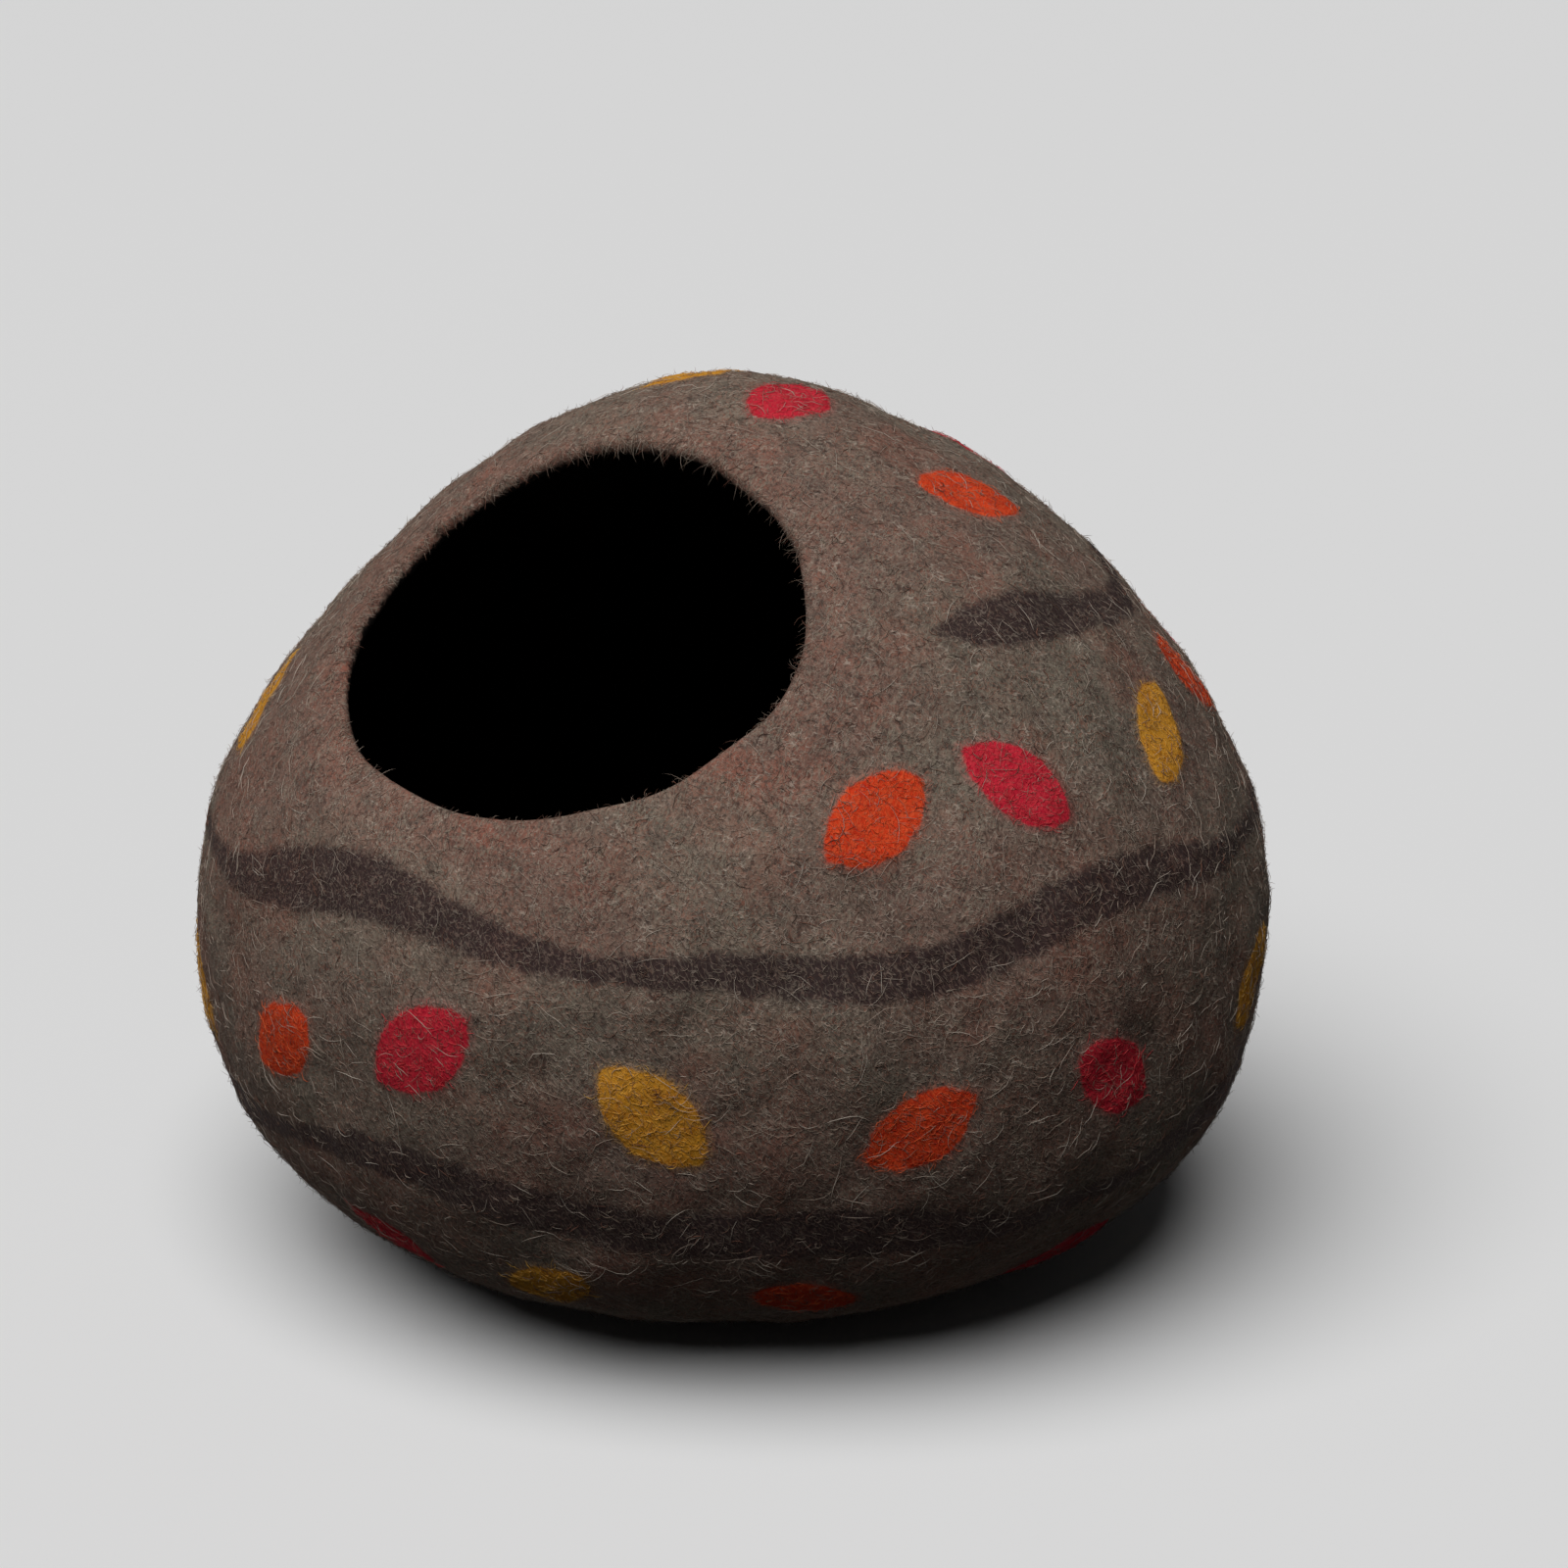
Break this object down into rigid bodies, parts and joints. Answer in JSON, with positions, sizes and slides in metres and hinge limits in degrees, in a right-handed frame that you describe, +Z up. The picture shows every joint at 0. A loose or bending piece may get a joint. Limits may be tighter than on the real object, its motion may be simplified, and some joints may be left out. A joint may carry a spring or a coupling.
{
  "type": "felt cat cave",
  "caption": "Seamless wet-felted wool pet cave: a squashed egg-shaped vessel with a flattened base and an oval mouth high on its front.",
  "frame": {"origin": "middle of the flattened base, in the plane it rests on", "axes": "+Z up; the mouth faces -Y and upwards; X runs from side to side"},
  "size_m": [0.4562, 0.4639, 0.3749],
  "materials": {
    "brown_felt": "heathered brown felted wool, dull and fuzzy",
    "dyed_wool": "crimson, orange and mustard wool felted into the wall",
    "loose_fibres": "fine loose wool fibres lying on the felt"
  },
  "bodies": {
    "root": {"felt_shell": "brown_felt"}
  },
  "joints": []
}
